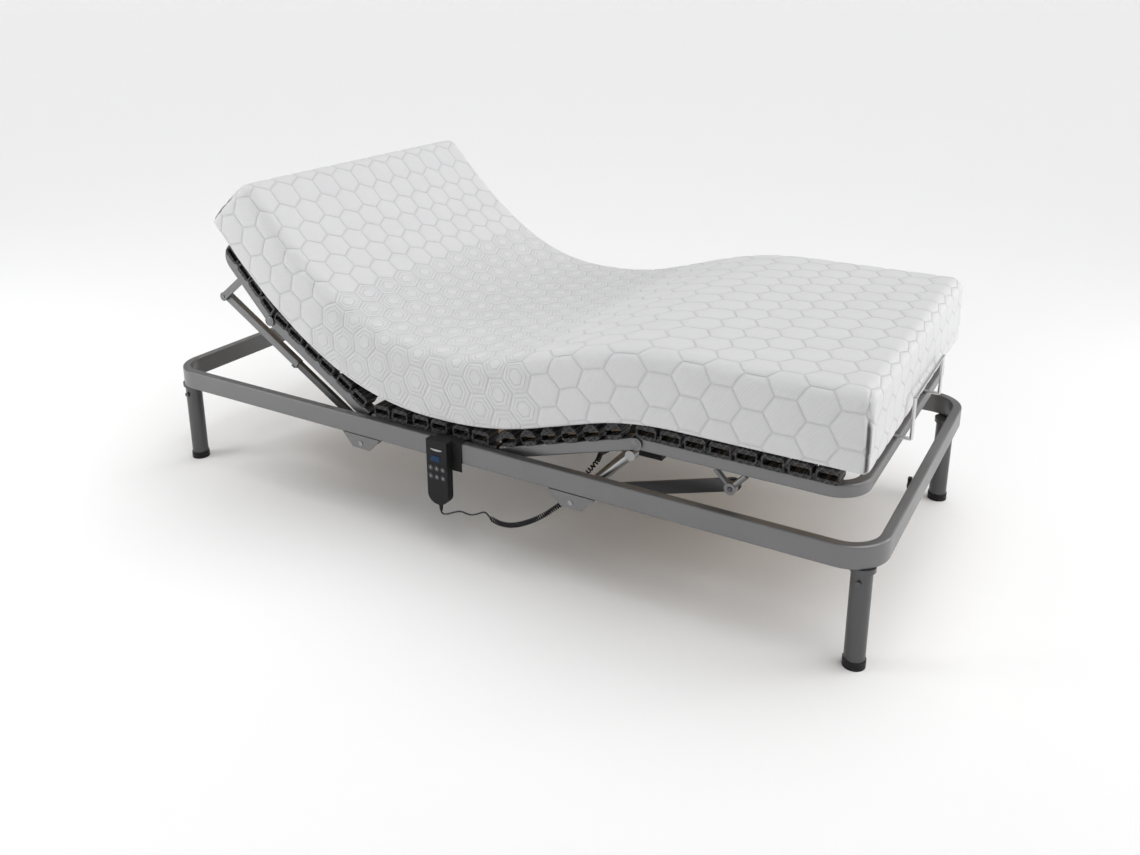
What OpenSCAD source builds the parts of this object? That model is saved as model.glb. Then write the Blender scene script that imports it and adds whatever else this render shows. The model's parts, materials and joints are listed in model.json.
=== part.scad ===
// Adjustable bed base with its mattress, as an assembly of separate parts.
// X runs along the bed (head end at -X), Y across it, Z up. The origin is on the floor under the middle of
// the chassis. The back and head sections are drawn raised, and the knee section is drawn raised.

/* [Chassis] */
// Length of the chassis over its end rails
bed_l = 2000; // [1900:10:2100]
// Width of the chassis over its side rails
bed_w = 900; // [800:10:1000]
// Height of the top of the chassis above the floor
rail_top = 285; // [280:5:340]
// Height of the rail section
rail_h = 52; // [46:1:56]
// Width of the rail section
rail_t = 22; // [20:1:25]
// Outer radius of the chassis corners
corner_r = 90; // [70:5:110]
// Diameter of the legs
leg_d = 44; // [40:1:48]

/* [Sleeping surface] */
// Height of the section tubes
tube_h = 30; // [26:1:30]
// Width of the section tubes
tube_w = 25; // [20:1:25]
// Length of the back section between its two hinges
back_l = 382; // [370:1:390]
// Length of the head section
head_l = 255; // [240:1:260]
// Length of the thigh section between its two hinges
thigh_l = 376; // [370:1:380]
// Length of the foot section
foot_l = 486; // [470:1:490]
// Number of slats in the back section
back_slats_n = 6; // [4:2:8]
// Width of one slat
slat_w = 38; // [30:1:40]
// Thickness of one slat
slat_t = 8; // [6:1:9]

/* [Pose as drawn] */
// Angle of the back section above the horizontal
back_angle = 33; // [20:1:35]
// Angle of the head section above the horizontal
head_angle = 47; // [36:1:48]
// Angle of the thigh section above the horizontal
thigh_angle = 17; // [10:1:20]

/* [Mattress] */
// Thickness of the mattress
mattress_t = 170; // [150:5:180]
// Width of the mattress
mattress_w = 900; // [800:10:900]

/* [Handset] */
// Width of the handset
hand_w = 60; // [55:1:62]
// Length of the handset
hand_l = 168; // [160:1:170]

/* [Hidden] */
$fn = 48;
fit = 0.05;             // radial running clearance of a pin in its bore
gap = 0.5;              // radial clearance of an eye on a tube or a loose pin
wall = 1.5;             // wall of the steel tubes
rail_z = rail_top - rail_h / 2;
rail_bottom = rail_top - rail_h;
end_x = bed_l / 2 - corner_r;             // where the straight side rails end
bend_y = bed_w / 2 - corner_r;            // centre of the corner bends across the bed
bend_r = corner_r - rail_t / 2;           // radius of the bends at the middle of the rail
side_y = bed_w / 2 - rail_t / 2;          // middle of the side rails

hinge_z = rail_top - tube_h / 2;          // all sections lie flush with the chassis when flat
back_hinge = [-290, hinge_z];
thigh_hinge = [103, hinge_z];
neck_hinge = [back_hinge[0] - back_l * cos(back_angle), hinge_z + back_l * sin(back_angle)];
knee_hinge = [thigh_hinge[0] + thigh_l * cos(thigh_angle), hinge_z + thigh_l * sin(thigh_angle)];
tube_y = 408;                             // middle of the section side tubes
hinge_gap = 6;                            // free length of a tube before a hinge line
back_gap = 9;                             // the same at the back hinge, which folds further
ear_r = 13;                               // hinge ears welded on the tube ends
ear_t = 4;
outer_ear_y = tube_y - tube_w / 2 - 2.3;  // middle of the ears next to the tubes
inner_ear_y = outer_ear_y - ear_t - 0.4;  // middle of the ears behind them
ear_pad_s = 16;                           // where the pads that carry the ears begin
pin_r = 5;                                // hinge pins of the sections

shaft_z = 212;
back_shaft_x = -297;
knee_shaft_x = 315;
shaft_r = 13;
stub_r = 6;                               // shaft ends that turn in the pivot plates
plate_t = 5;
plate_low = 198;

deck = 60;                                // height of the mattress above the hinge lines
holder_h = 34;
holder_w = 42;
slat_rise = 12;                           // how far the middle of a slat stands above its ends
slat_reach = tube_y - 2;                  // half of a slat's length
slat_n = tube_h / 2 + 12;                 // underside of a slat's ends above the hinge lines
slat_pitch = 56;

lever_s = 147;                            // link pivot on the head levers, along the head section
lever_n = -103;                           // and below it
link_y = 400;
link_eye_r = 16;                          // wide eye, so that the link can float on the shaft end
arm_y = 405;                              // knee lift arms
foot_link_y = 383;
roller_r = 12;
knee_arm_l = 185;
knee_arm_angle = 45.5;
back_arm_l = 180;
back_arm_angle = 38.5;
back_arm_y = 378;

drive_x = [-342, 360];
drive_w = 124;
drive_low = 160;
drive_high = 250;
drive_wall = 4;
lever_l = 38;                             // drive levers under the shafts
lever_half = 5;
lever_y = 15;
back_lean = 4.9;                          // lean of the levers in the drawn pose
knee_lean = 3.2;
spindle_z = shaft_z - 33;
spindle_r = 8;

hand_x = -38;
hand_t = 22;
hand_top = 290;
hand_y = -bed_w / 2 - 25.5;               // front face of the handset

cord_y = -464.5;
lead_r = 2;
curl_r = 6.5;

// ---- places worked out from the sizes above ----

paint = [0.42, 0.42, 0.43];
black = [0.08, 0.08, 0.09];
dark = [0.3, 0.3, 0.31];

cross_w = 25;                             // cross tubes of the sections
cross_h = 22;
cross_in = 45;
cross_n = tube_h / 2 - cross_h / 2;
seat_places = [-212, -91, 30];            // middles of the double holders
back_places = [for (k = [0:back_slats_n / 2 - 1]) -77 - k * 121];
head_places = [-60, -168];
foot_places = [54, 166, 278, 390];
thigh_places = [for (k = [0:5]) 46 + k * 57];

knob_y = -75;                             // wing knob in the foot end rail
knob_z = rail_z;
leg_x = bed_l / 2 - 42;
leg_y = bed_w / 2 - 42;
socket_low = 222;
spigot_low = 170;
bolt_z = 200;
bolt_r = 4;
cap_h = 18;
cap_floor = 4;

drive_split = shaft_z;
motor_r = 32;
motor_mid = 9;                            // middle of the drive
gear_x = [motor_mid + 84, motor_mid + 124];
slider_l = 44;

hand_low = hand_top - hand_l;
hook_t = 1.6;                             // strap of the handset holder over the rail
button_w = 13;
button_dx = 18;
button_dz = 22;
button_z = 218;

track_s = 160;                            // middle of the tracks that the back rollers push on
head_past = 40;                           // how far the mattress stands past the head bow
foot_past = 12;                           // and past the foot bow
lever_pin = [
    neck_hinge[0] - lever_s * cos(head_angle) + lever_n * sin(head_angle),
    neck_hinge[1] + lever_s * sin(head_angle) + lever_n * cos(head_angle)
];
link_dx = back_shaft_x - lever_pin[0];
link_dz = shaft_z - lever_pin[1];
link_l = norm([link_dx, link_dz]);
link_angle = -atan2(link_dz, link_dx);
link_tube_l = 290;
link_rod_start = 170;
link_drop = hinge_z - shaft_z;            // the foot link, the thigh and the V bracket make a parallelogram
link_ahead = knee_shaft_x - thigh_hinge[0];
boss_y = tube_y - 6;
foot_link_t = 6;

// Points from the handset to where the curly part starts
lead_path = [
    [-38, cord_y, 101.7], [-37, cord_y - 1, 98], [-32, cord_y - 2, 96], [-24, cord_y - 3, 97],
    [-10, cord_y - 4, 103], [5, cord_y - 5, 111], [18, cord_y - 6, 117], [29, cord_y - 6, 119],
    [40, cord_y - 6, 118], [52, cord_y - 6, 118], [63, cord_y - 6, 121], [75, cord_y - 6, 127],
    [86, cord_y - 6, 133], [95, cord_y - 6, 136], [101, cord_y - 6, 134], [106, cord_y - 6, 129]
];
// Points of the curly part, under the side rail, up past the knee shaft and on to the drive
curl_path = [
    [106, -470, 129], [120, -470, 122], [140, -470, 119], [160, -470, 121], [180, -470, 127],
    [200, -469, 136], [220, -467, 147], [238, -462, 158], [253, -452, 168], [264, -438, 176],
    [272, -422, 182], [278, -404, 187], [283, -386, 193], [287, -372, 202], [290, -362, 215],
    [297, -358, 231], [308, -356, 246], [318, -351, 260], [322, -337, 268], [316, -315, 270],
    [304, -286, 262], [292, -250, 248], [283, -212, 235], [276, -170, 224], [272, -128, 217],
    [270, -90, 214], [270, -63, 214]
];

// ---- shared shapes ----

// Outline of a rectangle with rounded corners, centred on the origin
function rounded(w, h, r) = [
    for (c = [0:3], k = [0:3])
        let (a = c * 90 + k * 30, sx = (c == 0 || c == 3) ? 1 : -1, sy = c < 2 ? 1 : -1)
        [sx * (w / 2 - r) + r * cos(a), sy * (h / 2 - r) + r * sin(a)]
];

// Section of a rectangular steel tube
module tube_section(w, h) {
    difference() {
        polygon(rounded(w, h, 4));
        square([w - 2 * wall, h - 2 * wall], center = true);
    }
}

// Straight rectangular tube along X between two places
module tube_x(x0, x1, w, h) {
    translate([x0, 0, 0]) rotate([90, 0, 90]) linear_extrude(x1 - x0) tube_section(w, h);
}

// Straight rectangular tube along Y, centred
module tube_y(length, w, h) {
    translate([0, length / 2, 0]) rotate([90, 0, 0]) linear_extrude(length) tube_section(w, h);
}

// Quarter bend of rectangular tube about Z
module bend(r, w, h) {
    rotate_extrude(angle = 90) translate([r, 0]) tube_section(w, h);
}

// U-shaped end: arms from x0, end rail towards +X at x1, arms at +-y
module bent_end(x0, x1, y, r, w, h) {
    for (side = [-1, 1]) {
        if (x1 - r > x0) translate([0, side * y, 0]) tube_x(x0, x1 - r, w, h);
        translate([x1 - r, side * (y - r), 0]) mirror([0, side < 0 ? 1 : 0, 0]) bend(r, w, h);
    }
    translate([x1, 0, 0]) tube_y(2 * (y - r), w, h);
}

// Cylinder along Y, centred on its length
module rod_y(r, length) {
    rotate([90, 0, 0]) cylinder(r = r, h = length, center = true);
}

// Cylinder along X from the origin
module rod_x(r, length) {
    rotate([0, 90, 0]) cylinder(r = r, h = length);
}

// Copies of the children on the right and left sides
module both(y) {
    for (side = [-1, 1]) translate([0, side * y, 0]) children();
}

// Block centred on a place along X
module cube_at(x, length, width, height) {
    translate([x - length / 2, -width / 2, -height / 2]) cube([length, width, height]);
}

// Frames of the sections: each puts its children on a hinge line, turned with the section
module on_back() {
    translate([back_hinge[0], 0, back_hinge[1]]) rotate([0, back_angle, 0]) children();
}
module on_head() {
    translate([neck_hinge[0], 0, neck_hinge[1]]) rotate([0, head_angle, 0]) children();
}
module on_thigh() {
    translate([thigh_hinge[0], 0, thigh_hinge[1]]) rotate([0, -thigh_angle, 0]) children();
}
module on_foot() {
    translate([knee_hinge[0], 0, knee_hinge[1]]) children();
}

// Hinge ear with its bore at the hinge line; its tail runs towards out (1 for +X, -1 for -X)
module ear(out) {
    tail = 30;
    difference() {
        union() {
            rod_y(ear_r, ear_t);
            translate([out > 0 ? 0 : -tail, -ear_t / 2, -ear_r]) cube([tail, ear_t, 2 * ear_r]);
        }
        rod_y(pin_r + fit, ear_t + 2);
    }
}
// Ears next to the tubes on both sides, each with a pad to its tube
module outer_ears(out) {
    pad_w = tube_y - tube_w / 2 - outer_ear_y + 0.5;
    for (side = [-1, 1]) {
        translate([0, side * outer_ear_y, 0]) ear(out);
        translate([out > 0 ? ear_pad_s : -30, side > 0 ? outer_ear_y : -outer_ear_y - pad_w, -10])
            cube([30 - ear_pad_s, pad_w, 20]);
    }
}
// Ears behind the outer ones on both sides, each with a longer pad to its tube
module inner_ears(out) {
    pad_w = tube_y - tube_w / 2 - inner_ear_y + 0.5;
    for (side = [-1, 1]) {
        translate([0, side * inner_ear_y, 0]) ear(out);
        translate([out > 0 ? ear_pad_s : -30, side > 0 ? inner_ear_y : -inner_ear_y - pad_w, -10])
            cube([30 - ear_pad_s, pad_w, 20]);
    }
}

// Sprung wooden slat: a flat bar bent in a shallow arc across the bed
module slat() {
    arc_r = (slat_reach * slat_reach + slat_rise * slat_rise) / (2 * slat_rise);
    arc_a = asin(slat_reach / arc_r);
    translate([-slat_w / 2, 0, slat_rise - arc_r])
        rotate([0, 90, 0]) rotate([0, 0, 180 - arc_a])
            rotate_extrude(angle = 2 * arc_a, $fn = 180) translate([arc_r, 0]) square([slat_t, slat_w]);
}

// Rubber holder on the side tubes that takes the ends of two slats
module double_holder() {
    block_l = slat_pitch + slat_w + 8;
    difference() {
        union() {
            translate([0, 0, tube_h / 2]) linear_extrude(8) square([block_l, tube_w - 3], center = true);
            for (k = [-1, 1])
                translate([k * slat_pitch / 2, 0, tube_h / 2 + holder_h / 2 + 1])
                    rotate([90, 0, 0]) linear_extrude(holder_w, center = true)
                        polygon(rounded(slat_w + 10, holder_h - 2, 8));
            translate([-slat_pitch / 2, -holder_w / 2 + 4, tube_h / 2 + 4])
                cube([slat_pitch, holder_w - 8, 12]);
        }
        for (k = [-1, 1])
            translate([k * slat_pitch / 2 - slat_w / 2 - 1, -holder_w / 2 - 1, slat_n - 1])
                cube([slat_w + 2, holder_w + 2, slat_t + 5]);
    }
}

// Ring-shaped rubber holder of one slat
module ring_holder() {
    difference() {
        union() {
            translate([0, 0, tube_h / 2 + 18]) rod_y(21, holder_w);
            translate([-12, -tube_w / 2 + 2, tube_h / 2]) cube([24, tube_w - 4, 8]);
        }
        translate([-slat_w / 2 - 0.5, -holder_w / 2 - 1, slat_n - 1])
            cube([slat_w + 1, holder_w + 2, slat_t + 4]);
        translate([-30, -holder_w, 0]) cube([60, 2 * holder_w, tube_h / 2]);
    }
}

// Slats at the given places along a section
module slats_at(places) {
    color("burlywood") for (x = places) translate([x, 0, slat_n]) slat();
}

// Double holders on both side tubes at the given places
module holders_at(places) {
    color(black) for (x = places) both(tube_y) translate([x, 0, 0]) double_holder();
}

// Places of the slats that sit in double holders at the given places
function pairs(places) = [for (x = places, k = [-1, 1]) x + k * slat_pitch / 2];

// Block of mattress along X from x0 to x1, with its ends leaning inwards by angles a0 and a1
module mattress_block(x0, x1, a0, a1) {
    top = deck + mattress_t;
    color("white") translate([0, mattress_w / 2, 0]) rotate([90, 0, 0]) linear_extrude(mattress_w) polygon([
        [x0 + deck * tan(a0), deck], [x1 - deck * tan(a1), deck],
        [x1 - top * tan(a1), top], [x0 + top * tan(a0), top]
    ]);
}

// Tube swept along a path of points with a ring of flat sides
module sweep(path, r, sides) {
    n = len(path);
    function unit(v) = v / norm(v);
    function along(i) = unit(path[min(i + 1, n - 1)] - path[max(i - 1, 0)]);
    rings = [for (i = [0:n - 1])
        let (d = along(i), u = unit(cross(d, abs(d[1]) < 0.9 ? [0, 1, 0] : [1, 0, 0])), v = cross(d, u))
        for (k = [0:sides - 1]) path[i] + r * (cos(k * 360 / sides) * u + sin(k * 360 / sides) * v)];
    faces = concat(
        [[for (k = [sides - 1:-1:0]) k]],
        [for (i = [0:n - 2], k = [0:sides - 1])
            let (a = i * sides + k, b = i * sides + (k + 1) % sides) [a, b, b + sides, a + sides]],
        [[for (k = [0:sides - 1]) (n - 1) * sides + k]]
    );
    polyhedron(rings, faces, convexity = 8);
}

// ---- chassis ----

module right_side_rail() {
    color(paint) translate([0, -side_y, rail_z]) tube_x(-end_x, end_x, rail_t, rail_h);
}
module left_side_rail() {
    color(paint) translate([0, side_y, rail_z]) tube_x(-end_x, end_x, rail_t, rail_h);
}
module end_rail() {
    translate([0, 0, rail_z]) bent_end(end_x, bed_l / 2 - rail_t / 2, side_y, bend_r, rail_t, rail_h);
}
module head_end_rail() {
    color(paint) mirror([1, 0, 0]) end_rail();
}
// Screw boss of the wing knob in the foot end rail
module foot_end_rail() {
    color(paint) difference() {
        end_rail();
        translate([bed_l / 2 - 2 * rail_t, knob_y, knob_z]) rod_x(4.05, rail_t * 1.6);
    }
}

module each_leg() {
    for (end = [-1, 1], side = [-1, 1]) translate([end * leg_x, side * leg_y, 0]) children();
}
module leg_sockets() {
    color(paint) difference() {
        each_leg() {
            translate([0, 0, socket_low]) cylinder(r = leg_d / 2 + 5, h = rail_bottom - socket_low);
            translate([0, 0, spigot_low]) cylinder(r = leg_d / 2 - 3, h = socket_low - spigot_low);
        }
        each_leg() translate([0, 0, bolt_z]) rod_y(bolt_r + fit, leg_d + 2);
    }
}
module leg(end, side) {
    color([0.36, 0.36, 0.37]) translate([end * leg_x, side * leg_y, 0]) difference() {
        translate([0, 0, cap_floor]) cylinder(r = leg_d / 2, h = socket_low - cap_floor);
        translate([0, 0, cap_floor - 1]) cylinder(r = leg_d / 2 - 2, h = socket_low);
        translate([0, side * leg_d / 2, bolt_z]) rod_y(bolt_r + fit, leg_d / 2);
    }
}
module leg_head_right() { leg(-1, -1); }
module leg_head_left() { leg(-1, 1); }
module leg_foot_right() { leg(1, -1); }
module leg_foot_left() { leg(1, 1); }
module leg_caps() {
    color(black) each_leg() difference() {
        cylinder(r = leg_d / 2 + 2, h = cap_h);
        translate([0, 0, cap_floor]) difference() {
            cylinder(r = leg_d / 2 + 0.1, h = cap_h);
            translate([0, 0, -1]) cylinder(r = leg_d / 2 - 4, h = cap_h - 2);
        }
    }
}
module leg_bolts() {
    color("silver") for (end = [-1, 1], side = [-1, 1])
        translate([end * leg_x, side * leg_y, bolt_z]) {
            translate([0, side * leg_d / 4, 0]) rod_y(bolt_r, leg_d / 2 - 0.4);
            translate([0, side * (leg_d / 2 + 2.5), 0]) rod_y(6.5, 4.6);
        }
}

// Plates under the side rails that carry the ends of the two shafts
module pivot_plates() {
    color(paint) both(bed_w / 2 - plate_t / 2) for (x = [back_shaft_x, knee_shaft_x]) translate([x, 0, 0])
        difference() {
            rotate([90, 0, 0]) linear_extrude(plate_t, center = true)
                polygon([[-58, rail_bottom], [62, rail_bottom], [28, plate_low], [-26, plate_low]]);
            translate([0, 0, shaft_z]) rod_y(stub_r + fit, plate_t + 2);
        }
}

// Fixed seat section: two side tubes with hinge ears, two cross tubes and stays to the side rails
module seat_frame() {
    x0 = back_hinge[0] + back_gap;
    x1 = thigh_hinge[0] - hinge_gap;
    stay_y = tube_y + tube_w / 2;
    stay_l = bed_w / 2 - rail_t - stay_y;
    color(paint) translate([0, 0, hinge_z]) {
        both(tube_y) tube_x(x0, x1, tube_w, tube_h);
        translate([back_hinge[0], 0, 0]) outer_ears(1);
        translate([thigh_hinge[0], 0, 0]) outer_ears(-1);
        both(stay_y + stay_l / 2) for (x = [x0 + 60, x1 - 60]) cube_at(x, 30, stay_l, 16);
        for (x = [x0 + cross_in, x1 - cross_in])
            translate([x, 0, cross_n]) tube_y(2 * tube_y - tube_w, cross_w, cross_h);
    }
}
module seat_holders() {
    translate([0, 0, hinge_z]) holders_at(seat_places);
}
module seat_slats() {
    translate([0, 0, hinge_z]) slats_at(pairs(seat_places));
}
module seat_mattress() {
    translate([0, 0, hinge_z]) mattress_block(back_hinge[0], thigh_hinge[0], 29, 17);
}
// Pins through a pair of ears on both sides, each with a ring inside
module hinge_pins() {
    color("silver") for (side = [-1, 1]) translate([0, side * (inner_ear_y + 1.5), 0]) {
        rod_y(pin_r, 13);
        translate([0, side * -6.3, 0]) rod_y(9, 3.4);
    }
}
module seat_hinge_pins() {
    for (x = [back_hinge[0], thigh_hinge[0]]) translate([x, 0, hinge_z]) hinge_pins();
}

// Wing screw in the foot end rail
module wing_knob() {
    color(black) translate([bed_l / 2 - rail_t, knob_y, knob_z]) {
        rod_x(4, rail_t - 3);
        translate([-11.5, 0, 0]) rod_x(9, 11);
        translate([-11.5, -5, -18]) cube([8, 10, 36]);
    }
}

// ---- drive ----

module drive_shell(low, high) {
    difference() {
        translate([drive_x[0], -drive_w / 2, low]) cube([drive_x[1] - drive_x[0], drive_w, high - low]);
        translate([drive_x[0] + drive_wall, -drive_w / 2 + drive_wall, drive_low + drive_wall])
            cube([drive_x[1] - drive_x[0] - 2 * drive_wall, drive_w - 2 * drive_wall,
                  drive_high - drive_low - 2 * drive_wall]);
        for (x = [back_shaft_x, knee_shaft_x])
            translate([x, 0, shaft_z]) rod_y(shaft_r + 1, drive_w + 2);
    }
}
module drive_tray() {
    color(black) drive_shell(drive_low, drive_split);
}
module drive_lid() {
    color(black) drive_shell(drive_split, drive_high);
}
module drive_motors() {
    spindle_end = drive_x[1] - drive_wall - 2;
    color("silver") for (out = [-1, 1]) translate([motor_mid, 0, 0]) mirror([out < 0 ? 1 : 0, 0, 0]) {
        translate([14, 0, spindle_z + 27]) rod_x(motor_r, gear_x[0] - motor_mid - 14);
        translate([gear_x[0] - motor_mid, -34, drive_low + drive_wall + 1])
            cube([gear_x[1] - gear_x[0], 68, 66]);
        translate([gear_x[1] - motor_mid, 0, spindle_z]) rod_x(spindle_r, spindle_end - gear_x[1]);
    }
}
// Nut block on a spindle that pushes the drive levers; face is its pushing face, out its pushing direction
module slider(face, out) {
    color("white") translate([out > 0 ? face - slider_l : face, 0, spindle_z]) difference() {
        translate([0, -24, -13]) cube([slider_l, 48, 26]);
        translate([-1, 0, 0]) rod_x(spindle_r + 0.6, slider_l + 2);
    }
}
module back_slider() { slider(back_shaft_x + 7.6, -1); }
module knee_slider() { slider(knee_shaft_x - 8.4, 1); }

// Shaft with its stub ends and the pair of drive levers in the middle
module shaft(lean) {
    rod_y(shaft_r, 2 * tube_y + 20);
    rod_y(stub_r, bed_w + 3);
    both(lever_y) rotate([0, lean, 0])
        translate([-lever_half, -4, -lever_l]) cube([2 * lever_half, 8, lever_l]);
}
module back_shaft() {
    color("silver") translate([back_shaft_x, 0, shaft_z]) {
        difference() {
            shaft(back_lean);
            both(link_y) difference() {
                rod_y(shaft_r + 2, 24);
                rod_y(stub_r, 26);
            }
        }
        both(back_arm_y) {
            rotate([0, back_arm_angle, 0]) {
                translate([-back_arm_l, -5, -10]) cube([back_arm_l, 10, 20]);
                translate([-back_arm_l, 0, 0]) rod_y(roller_r, 14);
            }
        }
    }
}
module knee_shaft() {
    color("silver") translate([knee_shaft_x, 0, shaft_z]) {
        shaft(-knee_lean);
        both(arm_y) {
            rotate([0, -knee_arm_angle, 0]) {
                rod_x(9, knee_arm_l);
                translate([knee_arm_l, 0, 0]) rod_y(roller_r, 20);
            }
        }
    }
}

// ---- handset ----

module rounded_plate(w, h, r, t) {
    rotate([90, 0, 0]) linear_extrude(t) polygon(rounded(w, h, r));
}
module handset_holder() {
    color(black) translate([hand_x, 0, 0]) {
        translate([-24, -bed_w / 2 - 3, 212]) cube([80, 2.7, rail_top + hook_t - 212]);
        translate([-24, -bed_w / 2 - 3, rail_top + 0.2]) cube([80, rail_t + 6, hook_t - 0.2]);
        translate([-24, -bed_w / 2 + rail_t + 0.3, rail_top - 20]) cube([80, 2.7, 20 + hook_t]);
    }
}
module hand_outline() {
    polygon(concat(
        [[-hand_w / 2, hand_top], [-hand_w / 2, hand_low + 26]],
        [for (a = [180:15:360]) [hand_w / 2 * cos(a), hand_low + 26 + 26 * sin(a)]],
        [[hand_w / 2, hand_top]]
    ));
}
module handset_case() {
    color(black) translate([hand_x, hand_y + hand_t, 0])
        rotate([90, 0, 0]) linear_extrude(hand_t - 3) hand_outline();
}
function button_place(i) = [hand_x + (i % 3 - 1) * button_dx, button_z - floor(i / 3) * button_dz];
module handset_face() {
    color([0.13, 0.13, 0.14]) difference() {
        translate([hand_x, hand_y + 2.8, 0]) rotate([90, 0, 0]) linear_extrude(2.6) hand_outline();
        for (i = [0:5])
            translate([button_place(i)[0], hand_y, button_place(i)[1]]) rod_y(button_w / 2 + 0.4, 10);
    }
}
module button(i) {
    color("dimgray") translate([button_place(i)[0], hand_y + 0.4, button_place(i)[1]]) rod_y(button_w / 2, 3);
}
module handset_relief() {
    color(black) translate([hand_x, cord_y, 102]) {
        cylinder(r1 = 3.5, r2 = 6, h = hand_low - 102, $fn = 32);
    }
}
module handset_lead() { color(black) sweep(lead_path, lead_r, 8); }
module handset_curl() { color(black) sweep(curl_path, curl_r, 10); }

// ---- back section ----

module back_frame() {
    track_w = tube_y - tube_w / 2 - back_arm_y + 12;
    color(paint) on_back() {
        both(tube_y) tube_x(-back_l + hinge_gap, -back_gap, tube_w, tube_h);
        inner_ears(-1);
        translate([-back_l, 0, 0]) outer_ears(1);
        for (side = [-1, 1]) translate([0, side * (tube_y - tube_w / 2 - track_w / 2), -tube_h / 2 + 2.5])
            cube_at(-track_s, 120, track_w, 5);
        for (s = [back_l - cross_in, 60])
            translate([-s, 0, cross_n]) tube_y(2 * tube_y - tube_w, cross_w, cross_h);
    }
}
module back_holders() { on_back() holders_at(back_places); }
module back_slats() { on_back() slats_at(pairs(back_places)); }
module neck_hinge_pins() { on_back() translate([-back_l, 0, 0]) hinge_pins(); }
module back_mattress() { on_back() mattress_block(-back_l, 0, 13, 29); }

// ---- head section ----

module head_bow() {
    lever_t = 5;
    color(paint) on_head() {
        mirror([1, 0, 0]) bent_end(hinge_gap, head_l - tube_w / 2, tube_y, 60, tube_w, tube_h);
        inner_ears(-1);
        for (side = [-1, 1]) translate([-lever_s, side * (tube_y + 6), lever_n]) difference() {
            union() {
                rod_y(12, lever_t);
                rotate([0, 5, 0]) translate([-9.5, -lever_t / 2, 0]) cube([19, lever_t, -lever_n - 9]);
            }
            rod_y(pin_r + fit, lever_t + 2);
        }
    }
}
module head_holders() { on_head() holders_at(head_places); }
module head_slats() { on_head() slats_at(pairs(head_places)); }
module head_mattress() { on_head() mattress_block(-head_l - head_past, 0, 0, 13); }

// ---- head links ----

module on_link() {
    translate([lever_pin[0], 0, lever_pin[1]]) rotate([0, link_angle, 0]) children();
}
module head_link_tubes() {
    color(paint) on_link() for (side = [-1, 1]) translate([0, side * link_y, 0]) {
        difference() {
            union() {
                rod_y(12, 16);
                tube_x(8, link_tube_l, 18, 24);
                translate([link_tube_l - 16, -9, -15]) cube([12, 18, 3.2]);
            }
            translate([14, -7, -10]) cube([link_tube_l, 14, 20]);
        }
        translate([0, side * 12.5, 0]) rod_y(pin_r, 11);
    }
}
module head_link_rods() {
    color(dark) on_link() for (side = [-1, 1]) translate([0, side * link_y, 0]) difference() {
        union() {
            translate([link_rod_start, -6, -9]) cube([link_l - link_rod_start - 20, 12, 18]);
            translate([link_l, 0, 0]) rod_y(link_eye_r + 7, 12);
        }
        translate([link_l, 0, 0]) rod_y(link_eye_r, 20);
    }
}

// ---- thigh section ----

module thigh_tubes() {
    color(paint) on_thigh() {
        both(tube_y) tube_x(hinge_gap, thigh_l - hinge_gap, tube_w, tube_h);
        inner_ears(1);
        translate([thigh_l, 0, 0]) outer_ears(-1);
    }
}
module knee_hinge_pins() { on_thigh() translate([thigh_l, 0, 0]) hinge_pins(); }
module thigh_holders() {
    color(black) on_thigh() for (x = thigh_places) both(tube_y) translate([x, 0, 0]) ring_holder();
}
module thigh_slats() { on_thigh() slats_at(thigh_places); }
module thigh_mattress() { on_thigh() mattress_block(0, thigh_l, 17, 0.2); }

// ---- foot section ----

module foot_bow() {
    color(paint) on_foot() {
        bent_end(hinge_gap, foot_l - tube_w / 2, tube_y, 60, tube_w, tube_h);
        inner_ears(1);
    }
}
// V brackets under the foot tubes: two round stays that meet in a boss for the foot link
module foot_brackets() {
    stay_r = 6.5;
    stay_rise = link_drop - tube_h / 2 - 3;
    color(paint) on_foot() both(boss_y) translate([link_ahead, 0, -link_drop]) difference() {
        union() {
            rod_y(13, 16);
            for (lean = [-45, 42]) rotate([0, lean, 0]) translate([0, 0, 6])
                cylinder(r = stay_r, h = stay_rise / cos(lean) - 12);
        }
        rod_y(pin_r + 1, 40);
    }
}
module foot_links() {
    pin_len = boss_y + 10 - foot_link_y;
    color(dark) for (side = [-1, 1])
        translate([knee_shaft_x, side * foot_link_y, shaft_z]) rotate([0, -thigh_angle, 0]) {
            difference() {
                union() {
                    translate([0, -foot_link_t / 2, -15]) cube([thigh_l, foot_link_t, 30]);
                    rod_y(19, foot_link_t);
                    translate([thigh_l, 0, 0]) rod_y(15, foot_link_t);
                }
                rod_y(shaft_r + gap, foot_link_t + 2);
            }
            translate([thigh_l, side * pin_len / 2, 0]) rod_y(pin_r, pin_len);
        }
}
module foot_holders() { on_foot() holders_at(foot_places); }
module foot_slats() { on_foot() slats_at(pairs(foot_places)); }
module foot_mattress() { on_foot() mattress_block(0, foot_l + foot_past, 0.2, 0); }
module mattress_retainer() {
    wire = 4;
    half = 145;
    arm_n = tube_h / 2 + wire + 1;
    post_s = foot_l + foot_past + 16;
    color("silver") on_foot() {
        both(half) {
            translate([foot_l - tube_w, 0, arm_n]) rod_x(wire, post_s - foot_l + tube_w);
            translate([post_s, 0, arm_n]) cylinder(r = wire, h = 95);
            translate([foot_l - 16, 0, tube_h / 2]) cylinder(r = 7, h = 3);
            translate([foot_l - 16, 0, tube_h / 2]) cylinder(r = 3, h = 6);
        }
        translate([post_s, 0, arm_n + 95]) rod_y(wire, 2 * half);
    }
}

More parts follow.
